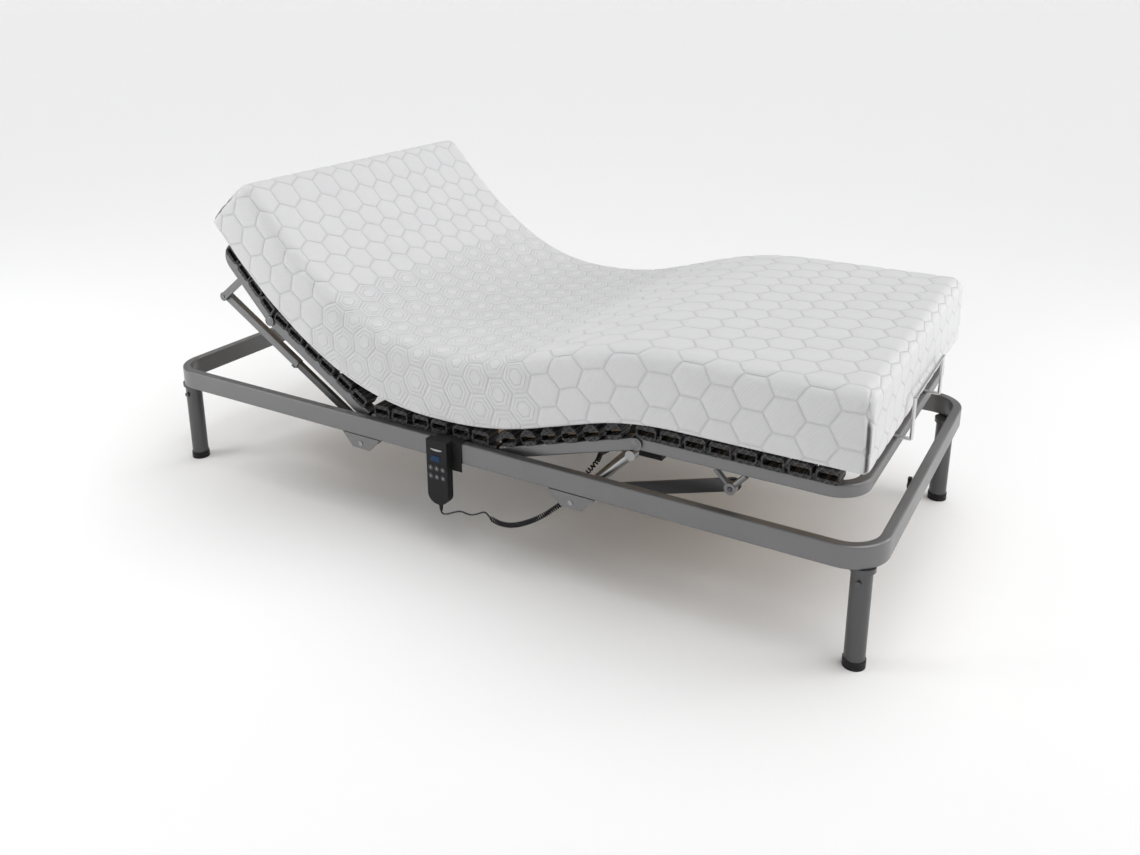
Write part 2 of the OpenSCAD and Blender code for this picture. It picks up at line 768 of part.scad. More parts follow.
right_side_rail();
left_side_rail();
head_end_rail();
foot_end_rail();
leg_sockets();
leg_head_right();
leg_head_left();
leg_foot_right();
leg_foot_left();
leg_caps();
leg_bolts();
pivot_plates();
seat_frame();
seat_holders();
seat_slats();
seat_mattress();
seat_hinge_pins();
drive_tray();
drive_lid();
drive_motors();
back_slider();
knee_slider();
wing_knob();
handset_holder();
handset_case();
handset_face();
button(0);  // button_1
button(1);  // button_2
button(2);  // button_3
button(3);  // button_4
button(4);  // button_5
button(5);  // button_6
handset_relief();
handset_lead();
handset_curl();
back_frame();
back_holders();
back_slats();
back_mattress();
neck_hinge_pins();
head_bow();
head_holders();
head_slats();
head_mattress();
head_link_tubes();
head_link_rods();
back_shaft();
knee_shaft();
thigh_tubes();
thigh_holders();
thigh_slats();
thigh_mattress();
knee_hinge_pins();
foot_bow();
foot_brackets();
foot_links();
foot_holders();
foot_slats();
foot_mattress();
mattress_retainer();
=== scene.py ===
import bpy, math, json
import numpy as np
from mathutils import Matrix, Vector


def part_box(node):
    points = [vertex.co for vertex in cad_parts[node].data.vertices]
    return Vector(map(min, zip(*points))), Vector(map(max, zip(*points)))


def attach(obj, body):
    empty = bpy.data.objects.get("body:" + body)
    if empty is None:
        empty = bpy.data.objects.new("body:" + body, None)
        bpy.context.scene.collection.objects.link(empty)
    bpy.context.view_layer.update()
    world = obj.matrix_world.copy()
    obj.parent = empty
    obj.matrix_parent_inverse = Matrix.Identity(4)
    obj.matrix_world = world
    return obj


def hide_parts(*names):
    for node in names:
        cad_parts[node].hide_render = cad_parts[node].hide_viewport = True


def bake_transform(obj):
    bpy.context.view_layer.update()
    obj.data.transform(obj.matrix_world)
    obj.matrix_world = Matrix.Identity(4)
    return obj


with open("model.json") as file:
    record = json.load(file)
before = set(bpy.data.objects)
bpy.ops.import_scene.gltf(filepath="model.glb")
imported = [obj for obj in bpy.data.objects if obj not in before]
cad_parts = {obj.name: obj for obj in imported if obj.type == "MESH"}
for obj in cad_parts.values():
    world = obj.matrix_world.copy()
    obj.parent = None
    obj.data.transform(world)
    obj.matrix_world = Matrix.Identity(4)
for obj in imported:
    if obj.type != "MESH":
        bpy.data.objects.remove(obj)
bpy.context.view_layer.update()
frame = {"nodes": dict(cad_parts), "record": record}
nodes = frame["nodes"]
print("frame loaded:", len(nodes), "nodes")


def deselectAll():
    if bpy.context.object and bpy.context.object.mode != "OBJECT":
        bpy.ops.object.mode_set(mode="OBJECT")
    bpy.ops.object.select_all(action="DESELECT")


# the eye stands off the near foot corner and looks down over the mattress

cameraPlace = {"at": (1.3559, -2.245, 1.3405), "turn": 2.0965, "tilt": -0.2954, "lens": 32.564, "rise": -0.12}

cameraData = bpy.data.cameras.new("camera")
cameraData.sensor_width = 36
cameraData.lens = cameraPlace["lens"]
cameraData.shift_y = cameraPlace["rise"]
camera = bpy.data.objects.new("camera", cameraData)
bpy.context.scene.collection.objects.link(camera)
looking = Vector((math.cos(cameraPlace["tilt"]) * math.cos(cameraPlace["turn"]),
                  math.cos(cameraPlace["tilt"]) * math.sin(cameraPlace["turn"]),
                  math.sin(cameraPlace["tilt"])))
camera.location = cameraPlace["at"]
camera.rotation_mode = "QUATERNION"
camera.rotation_quaternion = looking.to_track_quat("-Z", "Y")
bpy.context.scene.camera = camera


def newGroup(name, inputs, outputs):
    group = bpy.data.node_groups.new(name, "ShaderNodeTree")
    for label, kind, value in inputs:
        socket = group.interface.new_socket(label, in_out="INPUT", socket_type=kind)
        if value is not None:
            socket.default_value = value
    for label, kind in outputs:
        group.interface.new_socket(label, in_out="OUTPUT", socket_type=kind)
    return group, group.nodes.new("NodeGroupInput"), group.nodes.new("NodeGroupOutput")


def addNode(tree, kind, values=None, **settings):
    node = tree.nodes.new(kind)
    for key, value in settings.items():
        setattr(node, key, value)
    for key, value in (values or {}).items():
        if hasattr(value, "is_output"):
            tree.links.new(value, node.inputs[key])
        else:
            node.inputs[key].default_value = value
    return node


def sums(tree, operation, *values):
    return addNode(tree, "ShaderNodeMath", dict(enumerate(values)), operation=operation).outputs[0]


def vectorSums(tree, operation, *values):
    return addNode(tree, "ShaderNodeVectorMath", dict(enumerate(values)), operation=operation)


def blendColours(tree, amount, first, second):
    node = addNode(tree, "ShaderNodeMix", data_type="RGBA")
    for index, value in ((0, amount), (6, first), (7, second)):
        if hasattr(value, "is_output"):
            tree.links.new(value, node.inputs[index])
        else:
            node.inputs[index].default_value = value
    return node.outputs[2]


def spread(tree, value, low, high, toLow, toHigh):
    return addNode(tree, "ShaderNodeMapRange",
                   {0: value, 1: low, 2: high, 3: toLow, 4: toHigh}).outputs[0]


# cloudy change over a surface: a mask of large soft patches and a fine grain
patchGroup, inside, outside = newGroup(
    "cloudyWear",
    [("Patch Size", "NodeSocketFloat", 6.0), ("Grain Size", "NodeSocketFloat", 400.0)],
    [("Patches", "NodeSocketFloat"), ("Grain", "NodeSocketFloat"), ("Dust", "NodeSocketFloat")])
place = addNode(patchGroup, "ShaderNodeTexCoord").outputs["Object"]
large = addNode(patchGroup, "ShaderNodeTexNoise",
                {"Vector": place, "Scale": inside.outputs["Patch Size"], "Detail": 3.0, "Roughness": 0.55})
fine = addNode(patchGroup, "ShaderNodeTexNoise",
               {"Vector": place, "Scale": inside.outputs["Grain Size"], "Detail": 2.0, "Roughness": 0.6})
upwards = addNode(patchGroup, "ShaderNodeSeparateXYZ",
                  {0: addNode(patchGroup, "ShaderNodeNewGeometry").outputs["Normal"]}).outputs["Z"]
dusty = sums(patchGroup, "MULTIPLY", spread(patchGroup, upwards, 0.5, 1.0, 0.0, 1.0), large.outputs["Fac"])
patchGroup.links.new(large.outputs["Fac"], outside.inputs["Patches"])
patchGroup.links.new(fine.outputs["Fac"], outside.inputs["Grain"])
patchGroup.links.new(dusty, outside.inputs["Dust"])

# brushed lines along the bed
brushGroup, inside, outside = newGroup(
    "brushedLines", [("Across", "NodeSocketFloat", 500.0), ("Along", "NodeSocketFloat", 8.0)],
    [("Lines", "NodeSocketFloat")])
place = addNode(brushGroup, "ShaderNodeTexCoord").outputs["Object"]
scales = addNode(brushGroup, "ShaderNodeCombineXYZ",
                 {0: inside.outputs["Along"], 1: inside.outputs["Across"], 2: inside.outputs["Across"]}).outputs[0]
streaks = addNode(brushGroup, "ShaderNodeTexNoise",
                  {"Vector": vectorSums(brushGroup, "MULTIPLY", place, scales).outputs[0], "Scale": 1.0,
                   "Detail": 2.0})
brushGroup.links.new(streaks.outputs["Fac"], outside.inputs["Lines"])


def newMaterial(name):
    material = bpy.data.materials.new(name)
    material.use_nodes = True
    tree = material.node_tree
    return material, tree, tree.nodes["Principled BSDF"]


def placeGroup(tree, group, **values):
    node = tree.nodes.new("ShaderNodeGroup")
    node.node_tree = group
    for key, value in values.items():
        node.inputs[key.replace("_", " ")].default_value = value
    return node


def bumpFrom(tree, shader, height, distance, strength=1.0):
    bump = addNode(tree, "ShaderNodeBump", {"Height": height, "Distance": distance, "Strength": strength})
    tree.links.new(bump.outputs["Normal"], shader.inputs["Normal"])


def coatedMetal(name, colour, spots, metallic, roughness, brushed=0.0, grain=420.0):
    # stoved or plated steel: patches in colour and gloss, a fine orange peel, a little dust on top faces
    material, tree, shader = newMaterial(name)
    wear = placeGroup(tree, patchGroup, Patch_Size=5.0, Grain_Size=grain)
    tone = blendColours(tree, wear.outputs["Patches"], (*colour, 1), (*spots, 1))
    dust = sums(tree, "MULTIPLY", wear.outputs["Dust"], 0.25)
    tree.links.new(blendColours(tree, dust, tone, (0.62, 0.61, 0.6, 1)), shader.inputs["Base Color"])
    shader.inputs["Metallic"].default_value = metallic
    height = wear.outputs["Grain"]
    if brushed:
        lines = placeGroup(tree, brushGroup, Across=700.0, Along=10.0)
        height = sums(tree, "ADD", sums(tree, "MULTIPLY", lines.outputs["Lines"], brushed), height)
    gloss = sums(tree, "ADD", spread(tree, wear.outputs["Patches"], 0.3, 0.7, roughness - 0.05, roughness + 0.07),
                 sums(tree, "MULTIPLY", wear.outputs["Dust"], 0.1))
    tree.links.new(gloss, shader.inputs["Roughness"])
    bumpFrom(tree, shader, height, 0.00012)
    return material


def mouldedPlastic(name, colour, roughness, grain=900.0, depth=0.00012, spots=1.5, gloss=0.3):
    material, tree, shader = newMaterial(name)
    wear = placeGroup(tree, patchGroup, Patch_Size=14.0, Grain_Size=grain)
    lighter = tuple(min(1, c * spots + 0.004) for c in colour)
    tone = blendColours(tree, wear.outputs["Patches"], (*colour, 1), (*lighter, 1))
    dust = sums(tree, "MULTIPLY", wear.outputs["Dust"], 0.06)
    tree.links.new(blendColours(tree, dust, tone, (0.5, 0.49, 0.48, 1)), shader.inputs["Base Color"])
    tree.links.new(spread(tree, wear.outputs["Patches"], 0.3, 0.7, roughness - 0.06, roughness + 0.06),
                   shader.inputs["Roughness"])
    shader.inputs["Specular IOR Level"].default_value = gloss
    bumpFrom(tree, shader, wear.outputs["Grain"], depth)
    return material


framePaint = coatedMetal("framePaint", (0.165, 0.165, 0.168), (0.215, 0.215, 0.218), 0.8, 0.33)
legPaint = coatedMetal("legPaint", (0.085, 0.085, 0.088), (0.12, 0.12, 0.123), 0.75, 0.33)
darkSteel = coatedMetal("darkSteel", (0.075, 0.075, 0.078), (0.12, 0.12, 0.123), 0.75, 0.38, brushed=0.6)
zincSteel = coatedMetal("zincSteel", (0.27, 0.27, 0.272), (0.36, 0.36, 0.355), 0.95, 0.3,
                        brushed=0.8, grain=250.0)
brightWire = coatedMetal("brightWire", (0.62, 0.62, 0.63), (0.7, 0.7, 0.71), 1.0, 0.18, grain=300.0)
blackPlastic = mouldedPlastic("blackPlastic", (0.01, 0.01, 0.011), 0.5, gloss=0.18)
handsetPlastic = mouldedPlastic("handsetPlastic", (0.008, 0.008, 0.009), 0.5, grain=1400.0, gloss=0.14)
handsetFace = mouldedPlastic("handsetFace", (0.009, 0.009, 0.01), 0.34, grain=1600.0, depth=0.00005, gloss=0.16)
buttonRubber = mouldedPlastic("buttonRubber", (0.05, 0.05, 0.053), 0.45, grain=1500.0)
nylonWhite = mouldedPlastic("nylonWhite", (0.75, 0.75, 0.73), 0.4, spots=1.05)
cordRubber = mouldedPlastic("cordRubber", (0.009, 0.009, 0.01), 0.45, grain=1200.0, depth=0.00006)
markPaint = mouldedPlastic("markPaint", (0.42, 0.42, 0.43), 0.5, grain=2000.0, depth=0.00003, spots=1.1)

# rubber of the slat holders: small raised grid over a soft black rubber
holderRubber, tree, shader = newMaterial("holderRubber")
wear = placeGroup(tree, patchGroup, Patch_Size=12.0, Grain_Size=700.0)
place = addNode(tree, "ShaderNodeTexCoord").outputs["Object"]
ribs = []
for tilt in (0.9, -0.75):
    turned = addNode(tree, "ShaderNodeMapping", {"Vector": place, "Rotation": (0, tilt, 0), "Scale": (1, 0, 1)})
    wave = addNode(tree, "ShaderNodeTexWave", {"Vector": turned.outputs[0], "Scale": 26.0, "Distortion": 0.0},
                   wave_type="BANDS", bands_direction="X")
    ribs.append(spread(tree, wave.outputs["Fac"], 0.72, 0.95, 0.0, 1.0))
ridge = sums(tree, "MAXIMUM", *ribs)
# painted highlight: the raised ribs are lighter than the rubber between them
tree.links.new(blendColours(tree, ridge, (0.014, 0.014, 0.015, 1), (0.05, 0.05, 0.052, 1)),
               shader.inputs["Base Color"])
tree.links.new(spread(tree, ridge, 0.0, 1.0, 0.62, 0.4), shader.inputs["Roughness"])
bumpFrom(tree, shader, sums(tree, "ADD", ridge, sums(tree, "MULTIPLY", wear.outputs["Grain"], 0.15)), 0.0016)

# beech veneer: long grain across the bed, pores and slow colour bands
slatWood, tree, shader = newMaterial("slatWood")
place = addNode(tree, "ShaderNodeTexCoord").outputs["Object"]
stretched = addNode(tree, "ShaderNodeMapping", {"Vector": place, "Scale": (60, 2.2, 60)})
grainLines = addNode(tree, "ShaderNodeTexNoise", {"Vector": stretched.outputs[0], "Scale": 1.0, "Detail": 5.0,
                                                   "Roughness": 0.6, "Distortion": 0.4})
poreStretch = addNode(tree, "ShaderNodeMapping", {"Vector": place, "Scale": (900, 40, 900)})
pores = addNode(tree, "ShaderNodeTexNoise", {"Vector": poreStretch.outputs[0], "Scale": 1.0, "Detail": 1.0})
poreMask = spread(tree, pores.outputs["Fac"], 0.58, 0.72, 0.0, 0.5)
woodTone = blendColours(tree, grainLines.outputs["Fac"], (0.62, 0.42, 0.24, 1), (0.82, 0.64, 0.43, 1))
tree.links.new(blendColours(tree, poreMask, woodTone, (0.36, 0.22, 0.12, 1)), shader.inputs["Base Color"])
tree.links.new(spread(tree, grainLines.outputs["Fac"], 0.3, 0.7, 0.42, 0.56), shader.inputs["Roughness"])
bumpFrom(tree, shader, sums(tree, "SUBTRACT", grainLines.outputs["Fac"], poreMask), 0.0003)

# dark blue glass of the display
displayGlass, tree, shader = newMaterial("displayGlass")
wear = placeGroup(tree, patchGroup, Patch_Size=60.0, Grain_Size=900.0)
tree.links.new(blendColours(tree, wear.outputs["Patches"], (0.004, 0.014, 0.045, 1), (0.012, 0.05, 0.13, 1)),
               shader.inputs["Base Color"])
tree.links.new(spread(tree, wear.outputs["Patches"], 0.3, 0.7, 0.1, 0.16), shader.inputs["Roughness"])
shader.inputs["Specular IOR Level"].default_value = 0.2

finishes = {
    "frame_paint": framePaint, "leg_paint": legPaint, "black_plastic": blackPlastic, "steel": zincSteel,
    "dark_steel": darkSteel, "bright_wire": brightWire, "white_plastic": nylonWhite, "handset": handsetPlastic,
    "button": buttonRubber, "cord": cordRubber, "rubber": holderRubber, "slat_wood": slatWood,
}
for part in frame["record"]["subparts"]:
    if part["material_slot"] in finishes:
        shown = nodes[part["node"]]
        shown.data.materials.clear()
        shown.data.materials.append(finishes[part["material_slot"]])
nodes["handset_face"].data.materials[0] = handsetFace
nodes["leg_bolts"].data.materials[0] = legPaint
print("finishes placed")

# cord of the handset: a thin lead, then a coil that ends in the drive

cordSettings = {"leadRadius": 0.002, "outer": 0.0065, "wire": 0.0019, "pitch": 0.0052, "perTurn": 14,
                "restingRun": 0.235, "stretchRun": 0.1, "extraPitch": 0.0040, "endRun": 0.012, "endRadius": 0.06}
leadPath = [
    (-38, -464.5, 101.7), (-37, -465.5, 98), (-32, -466.5, 96), (-24, -467.5, 97),
    (-10, -468.5, 103), (5, -469.5, 111), (18, -470.5, 117), (29, -470.5, 119),
    (40, -470.5, 118), (52, -470.5, 118), (63, -470.5, 121), (75, -470.5, 127),
    (86, -470.5, 133), (95, -470.5, 136), (101, -470.5, 134), (106, -470.5, 129)]
curlPath = [
    (106, -470, 129), (120, -470, 122), (140, -470, 119), (160, -470, 121), (180, -470, 127),
    (200, -469, 136), (220, -467, 147), (238, -462, 158), (253, -452, 168), (264, -438, 176),
    (272, -422, 182), (278, -404, 187), (283, -386, 193), (287, -372, 202), (290, -362, 215),
    (297, -358, 231), (308, -356, 246), (318, -351, 260), (322, -337, 268), (316, -315, 270),
    (304, -286, 262), (292, -250, 248), (283, -212, 235), (276, -170, 224), (272, -128, 217),
    (270, -90, 214), (270, -63, 214)]


def easeInOut(t):
    return t * t * (3 - 2 * t)


def smoothLine(points, step):
    # rounds a listed route with a spline through its points, then spaces it evenly
    p = np.array(points, float) / 1000
    p = np.vstack([2 * p[0] - p[1], p, 2 * p[-1] - p[-2]])
    out = []
    for i in range(1, len(p) - 2):
        for t in np.linspace(0, 1, 24, endpoint=False):
            out.append(0.5 * (2 * p[i] + (p[i + 1] - p[i - 1]) * t
                              + (2 * p[i - 1] - 5 * p[i] + 4 * p[i + 1] - p[i + 2]) * t ** 2
                              + (3 * p[i] - p[i - 1] - 3 * p[i + 1] + p[i + 2]) * t ** 3))
    out.append(p[-2])
    out = np.array(out)
    run = np.concatenate([[0], np.cumsum(np.linalg.norm(np.diff(out, axis=0), axis=1))])
    even = np.linspace(0, run[-1], max(2, int(round(run[-1] / step))) + 1)
    return np.stack([np.interp(even, run, out[:, k]) for k in range(3)], 1), run[-1]


def cordCurve(name, points, radius, sides=2):
    data = bpy.data.curves.new(name, "CURVE")
    data.dimensions = "3D"
    spline = data.splines.new("POLY")
    spline.points.add(len(points) - 1)
    spline.points.foreach_set("co", np.hstack([points, np.ones((len(points), 1))]).ravel())
    data.bevel_depth = radius
    data.bevel_resolution = sides
    data.use_fill_caps = True
    data.materials.append(cordRubber)
    made = bpy.data.objects.new(name, data)
    bpy.context.scene.collection.objects.link(made)
    return made


def lengthOf(points):
    return float(np.linalg.norm(np.diff(points, axis=0), axis=1).sum())


leadLine, leadRun = smoothLine(leadPath, 0.003)
lead = cordCurve("handsetLead", leadLine, cordSettings["leadRadius"])
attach(lead, "chassis")
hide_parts("handset_lead")

# the coiled part: tighter turns where it rests, wider apart where it is stretched towards the drive
middle, curlRun = smoothLine(curlPath, 0.0004)
along = np.linspace(0, curlRun, len(middle))
stretch = np.clip((along - cordSettings["restingRun"]) / cordSettings["stretchRun"], 0, 1)
pitch = cordSettings["pitch"] + cordSettings["extraPitch"] * easeInOut(stretch)
turns = np.concatenate([[0], np.cumsum(np.diff(along) / pitch[1:])])
tangent = np.gradient(middle, axis=0)
tangent /= np.linalg.norm(tangent, axis=1)[:, None]
side = np.zeros_like(middle)
side[0] = np.cross(tangent[0], (0, 1, 0))
side[0] /= np.linalg.norm(side[0])
for i in range(1, len(middle)):
    side[i] = side[i - 1] - tangent[i] * (side[i - 1] @ tangent[i])
    side[i] /= np.linalg.norm(side[i])
over = np.cross(tangent, side)
coilAngles = np.arange(0, turns[-1] * cordSettings["perTurn"]) / cordSettings["perTurn"]
where = np.interp(coilAngles, turns, along)
opening = easeInOut(np.clip(np.minimum(where, curlRun - where) / cordSettings["endRun"], 0, 1))
endRadius = cordSettings["endRadius"]
coilRadius = (cordSettings["outer"] - cordSettings["wire"]) * (endRadius + (1 - endRadius) * opening)
coil = np.stack([np.interp(where, along, middle[:, k]) for k in range(3)], 1)
sideAt = np.stack([np.interp(where, along, side[:, k]) for k in range(3)], 1)
overAt = np.stack([np.interp(where, along, over[:, k]) for k in range(3)], 1)
wave = 2 * math.pi * coilAngles
coil = coil + coilRadius[:, None] * (np.cos(wave)[:, None] * sideAt + np.sin(wave)[:, None] * overAt)
curl = cordCurve("handsetCurl", coil, cordSettings["wire"], 1)
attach(curl, "chassis")
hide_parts("handset_curl")
print("cord laid:", round(leadRun, 3), round(lengthOf(coil), 3))

# mattress: a block laid over the deck line, cut into four pieces that each take the curve over one hinge

mattress = {"wide": 0.9, "thick": 0.17, "deck": 0.06, "headPast": 0.295, "footPast": 0.498, "cell": 0.076,
            "grid": 0.0046, "soft": 0.032, "firm": 0.011, "groove": 0.0017, "grooveWidth": 0.0062,
            "ringsFrom": 0.43, "ringsTo": 1.13, "ringInset": 0.016, "ringDepth": 0.4, "ringFade": 0.02,
            "crown": 0.35, "crownWidth": 0.012, "belly": 0.003,
            "seamWidth": 0.009, "seamDepth": 0.006, "seamTop": 0.74, "seamFade": 0.03}

backHinge = np.array((-0.290, 0.270))
thighHinge = np.array((0.103, 0.270))
angles = {"head": math.radians(47), "back": math.radians(33), "thigh": math.radians(17)}
neckHinge = backHinge + 0.382 * np.array((-math.cos(angles["back"]), math.sin(angles["back"])))
kneeHinge = thighHinge + 0.376 * np.array((math.cos(angles["thigh"]), math.sin(angles["thigh"])))


def heading(slope):
    # a section's direction towards the foot end
    return np.array((math.cos(slope), math.sin(slope)))


def pointOn(hinge, slope, reach, rise):
    direction = heading(slope)
    return hinge + reach * direction + rise * np.array((-direction[1], direction[0]))


def cornerOver(hinge, before, after):
    half = (after - before) / 2
    return pointOn(hinge, before, -mattress["deck"] * math.tan(half), mattress["deck"])


slopes = [-angles["head"], -angles["back"], 0.0, angles["thigh"], 0.0]
corners = [cornerOver(h, slopes[i], slopes[i + 1])
           for i, h in enumerate((neckHinge, backHinge, thighHinge, kneeHinge))]
deckEnds = [pointOn(neckHinge, slopes[0], -mattress["headPast"], mattress["deck"]),
            pointOn(kneeHinge, 0.0, mattress["footPast"], mattress["deck"])]
easeLengths = [0.15, 0.205, 0.13, 0.105]

line = [deckEnds[0]]
for i, corner in enumerate(corners):
    before, after = heading(slopes[i]), heading(slopes[i + 1])
    a, b = corner - before * easeLengths[i], corner + after * easeLengths[i]
    for t in np.linspace(0, 1, 40):
        line.append((1 - t) ** 2 * a + 2 * t * (1 - t) * corner + t * t * b)
line.append(deckEnds[1])
line = np.array(line)
lineRun = np.concatenate([[0], np.cumsum(np.linalg.norm(np.diff(line, axis=0), axis=1))])
mattressLength = lineRun[-1]


def deckAt(u):
    return np.stack([np.interp(u, lineRun, line[:, k]) for k in range(2)], -1)


def normalAt(u):
    ahead, behind = deckAt(u + 0.004), deckAt(u - 0.004)
    d = ahead - behind
    d = d / np.maximum(np.linalg.norm(d, axis=-1), 1e-9)[..., None]
    return np.stack([-d[..., 1], d[..., 0]], -1)


def edgeOfCell(u, v):
    # distance to the nearest line of a honeycomb, and how far along the bed the cell's middle lies
    x, y = v / mattress["cell"], u / mattress["cell"]
    tall = math.sqrt(3)
    best = None
    for shiftX, shiftY in ((0, 0), (0.5, tall / 2)):
        qx = (x - shiftX + 0.5) % 1 - 0.5
        qy = (y - shiftY + tall / 2) % tall - tall / 2
        size = qx * qx + qy * qy
        if best is None:
            best = [size, qx, qy]
        else:
            nearer = size < best[0]
            best = [np.where(nearer, a, b) for a, b in zip((size, qx, qy), best)]
    _, qx, qy = best
    reach = np.maximum(np.abs(qx), np.abs(qx) * 0.5 + np.abs(qy) * tall / 2)
    return (0.5 - reach) * mattress["cell"], (y - qy) * mattress["cell"]


def quiltDepth(u, v):
    edge, cellPlace = edgeOfCell(u, v)
    width = mattress["grooveWidth"]
    depth = np.exp(-(edge / width) ** 2)
    inRings = np.minimum(cellPlace - mattress["ringsFrom"], mattress["ringsTo"] - cellPlace)
    rings = np.clip(inRings / mattress["ringFade"], 0, 1)
    ring = np.exp(-((edge - mattress["ringInset"]) / width) ** 2)
    depth = np.maximum(depth, rings * mattress["ringDepth"] * ring)
    crown = mattress["crown"] * (1 - np.exp(-edge / mattress["crownWidth"]))
    return mattress["groove"] * (crown - depth)


def mattressPiece(name, uStart, uEnd, atHead, atFoot):
    wide, thick, grid = mattress["wide"], mattress["thick"], mattress["grid"]
    soft, firm = mattress["soft"], mattress["firm"]
    rows = int(round((uEnd - uStart) / grid)) + 1
    us = np.linspace(uStart, uEnd, rows)
    ys = np.linspace(-wide / 2, wide / 2, int(round(wide / grid)) + 1)
    ns = np.linspace(0, thick, int(round(thick / grid)) + 1)
    # one loop round the section: near side up, top across, far side down, underside back
    ring = ([(-wide / 2, n) for n in ns] + [(y, thick) for y in ys[1:]]
            + [(wide / 2, n) for n in ns[::-1][1:]] + [(y, 0.0) for y in ys[::-1][1:-1]])
    ring = np.array(ring)
    count = len(ring)
    flat = [np.stack([np.full(count, u), ring[:, 0], ring[:, 1]], 1) for u in us]
    points = np.concatenate(flat)
    faces = [(i * count + k, i * count + (k + 1) % count, (i + 1) * count + (k + 1) % count, (i + 1) * count + k)
             for i in range(rows - 1) for k in range(count)]
    faces = [f[::-1] for f in faces]
    across, up = len(ys), len(ns)
    lookup = {(round(y, 6), round(n, 6)): k for k, (y, n) in enumerate(ring)}
    for end, (u, row, real) in enumerate(((uStart, 0, atHead), (uEnd, rows - 1, atFoot))):
        if not real:
            loop = tuple(row * count + k for k in range(count))
            faces.append(loop if end == 0 else loop[::-1])
            continue
        index = np.zeros((across, up), int)
        extra = []
        for a, y in enumerate(ys):
            for b, n in enumerate(ns):
                key = (round(y, 6), round(n, 6))
                if key in lookup:
                    index[a, b] = row * count + lookup[key]
                else:
                    index[a, b] = len(points) + len(extra)
                    extra.append((u, y, n))
        points = np.vstack([points, np.array(extra)])
        for a in range(across - 1):
            for b in range(up - 1):
                face = (index[a, b], index[a, b + 1], index[a + 1, b + 1], index[a + 1, b])
                faces.append(face if end == 0 else face[::-1])
    u, y, n = points[:, 0], points[:, 1], points[:, 2]
    # rounded edges: a point is pushed out from a core that is smaller all round
    radius = firm + (soft - firm) * np.clip((n - 0.3 * thick) / (0.5 * thick), 0, 1)
    coreU = np.clip(u, radius if atHead else -9, mattressLength - radius if atFoot else 99)
    coreY = np.clip(y, -wide / 2 + radius, wide / 2 - radius)
    coreN = np.clip(n, firm, thick - soft)
    out = np.stack([u - coreU, y - coreY, n - coreN], 1)
    lengthOut = np.linalg.norm(out, axis=1)
    rounding = np.where(n - coreN > 0, soft, np.where(n - coreN < 0, firm, radius))
    inner = lengthOut < 1e-7
    direction = out / np.where(inner, 1, lengthOut)[:, None]
    reach = np.where(inner, 0, rounding)
    surface = np.stack([coreU, coreY, coreN], 1) + direction * reach[:, None]
    # place on the pattern: it runs over the edges onto the sides and ends
    onFoot, onHead = atFoot & (u > mattressLength - 1e-6), atHead & (u < 1e-6)
    endDown = np.where(onFoot, thick - n, 0) - np.where(onHead, thick - n, 0)
    onEnd = onFoot | onHead
    onSide = np.where(np.abs(y) > wide / 2 - 1e-6, np.sign(y), 0)
    sideDown = np.where(onEnd, 0, onSide * (thick - n))
    patternU, patternV = u + endDown, y + sideDown
    under = (n < 1e-6)
    rise = quiltDepth(patternU, patternV)
    # foam swells a little in the middle of its sides and is held in at the corner seams
    belly = np.sin(np.pi * np.clip(n / thick, 0, 1)) * mattress["belly"]
    sides = (np.abs(y) > wide / 2 - 1e-6) | onEnd
    rise = np.where(under, 0, rise + np.where(sides, belly, 0))
    # corner seams: one mask pinches the foam in and, stored as an attribute, paints shade: the cover colour goes
    # nearly black along the seam
    seamDentAndShade = np.zeros(len(u))
    if atFoot or atHead:
        fromEnd = (mattressLength - u) if atFoot else u
        corner = np.exp(-((fromEnd + (wide / 2 - np.abs(y))) / mattress["seamWidth"]) ** 2)
        seamDentAndShade = corner * np.clip((mattress["seamTop"] * thick - n) / mattress["seamFade"], 0, 1)
        rise = rise - mattress["seamDepth"] * seamDentAndShade
    surface = surface + direction * np.where(inner, 0, rise)[:, None]
    flatInner = inner & ~under
    surface[flatInner, 2] += rise[flatInner] * (n[flatInner] > thick - 1e-6)
    base, rising = deckAt(surface[:, 0]), normalAt(surface[:, 0])
    world = np.stack([base[:, 0] + surface[:, 2] * rising[:, 0], surface[:, 1],
                      base[:, 1] + surface[:, 2] * rising[:, 1]], 1)
    mesh = bpy.data.meshes.new(name)
    mesh.from_pydata(world.tolist(), [], [tuple(int(k) for k in f) for f in faces])
    mesh.update()
    uv = mesh.uv_layers.new(name="quilt")
    loops = np.zeros(len(mesh.loops), np.int32)
    mesh.loops.foreach_get("vertex_index", loops)
    uv.data.foreach_set("uv", np.stack([patternU[loops], patternV[loops]], 1).astype(np.float32).ravel())
    # painted shade: the seam mask is kept for the cover material, which darkens the corner seams nearly to black
    dark = mesh.attributes.new("seamDentAndShade", "FLOAT", "POINT")
    dark.data.foreach_set("value", seamDentAndShade.astype(np.float32))
    mesh.polygons.foreach_set("use_smooth", np.ones(len(mesh.polygons), bool))
    # the flat cuts between neighbours stay out of the shading
    rim = {tuple(sorted((row * count + k, row * count + (k + 1) % count)))
           for row, real in ((0, atHead), (rows - 1, atFoot)) if not real for k in range(count)}
    for edge in mesh.edges:
        if tuple(sorted(edge.vertices)) in rim:
            edge.use_edge_sharp = True
    made = bpy.data.objects.new(name, mesh)
    bpy.context.scene.collection.objects.link(made)
    return made
